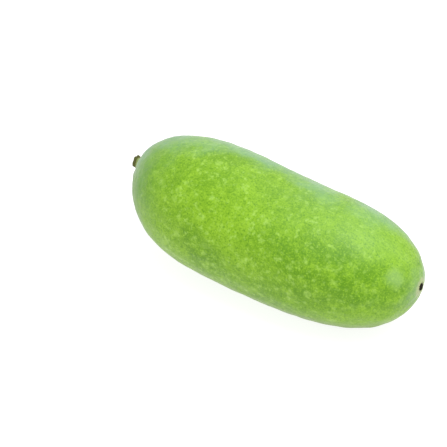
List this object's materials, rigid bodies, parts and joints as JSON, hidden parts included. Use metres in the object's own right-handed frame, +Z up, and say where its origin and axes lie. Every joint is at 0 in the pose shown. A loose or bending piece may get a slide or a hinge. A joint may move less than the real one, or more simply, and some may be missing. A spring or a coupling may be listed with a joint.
{
  "type": "winter melon",
  "caption": "Whole young winter melon as picked, lying on a small flat spot of its belly, with the cut stub of its stem and the dry blossom scar.",
  "frame": {"origin": "middle of the flat resting spot under the fruit", "axes": "+X along the fruit from its stem to its blossom end, +Y towards the side that the fruit curves to, +Z up"},
  "size_m": [0.2955, 0.1195, 0.1189],
  "materials": {
    "waxy_skin": "satin waxy green skin with pale flecks",
    "dry_stalk": "dry olive brown stalk",
    "dry_scar": "near black dry scar"
  },
  "bodies": {
    "root": {"melon_fruit": "waxy_skin", "cut_stem": "dry_stalk", "blossom_scar": "dry_scar"}
  },
  "joints": []
}
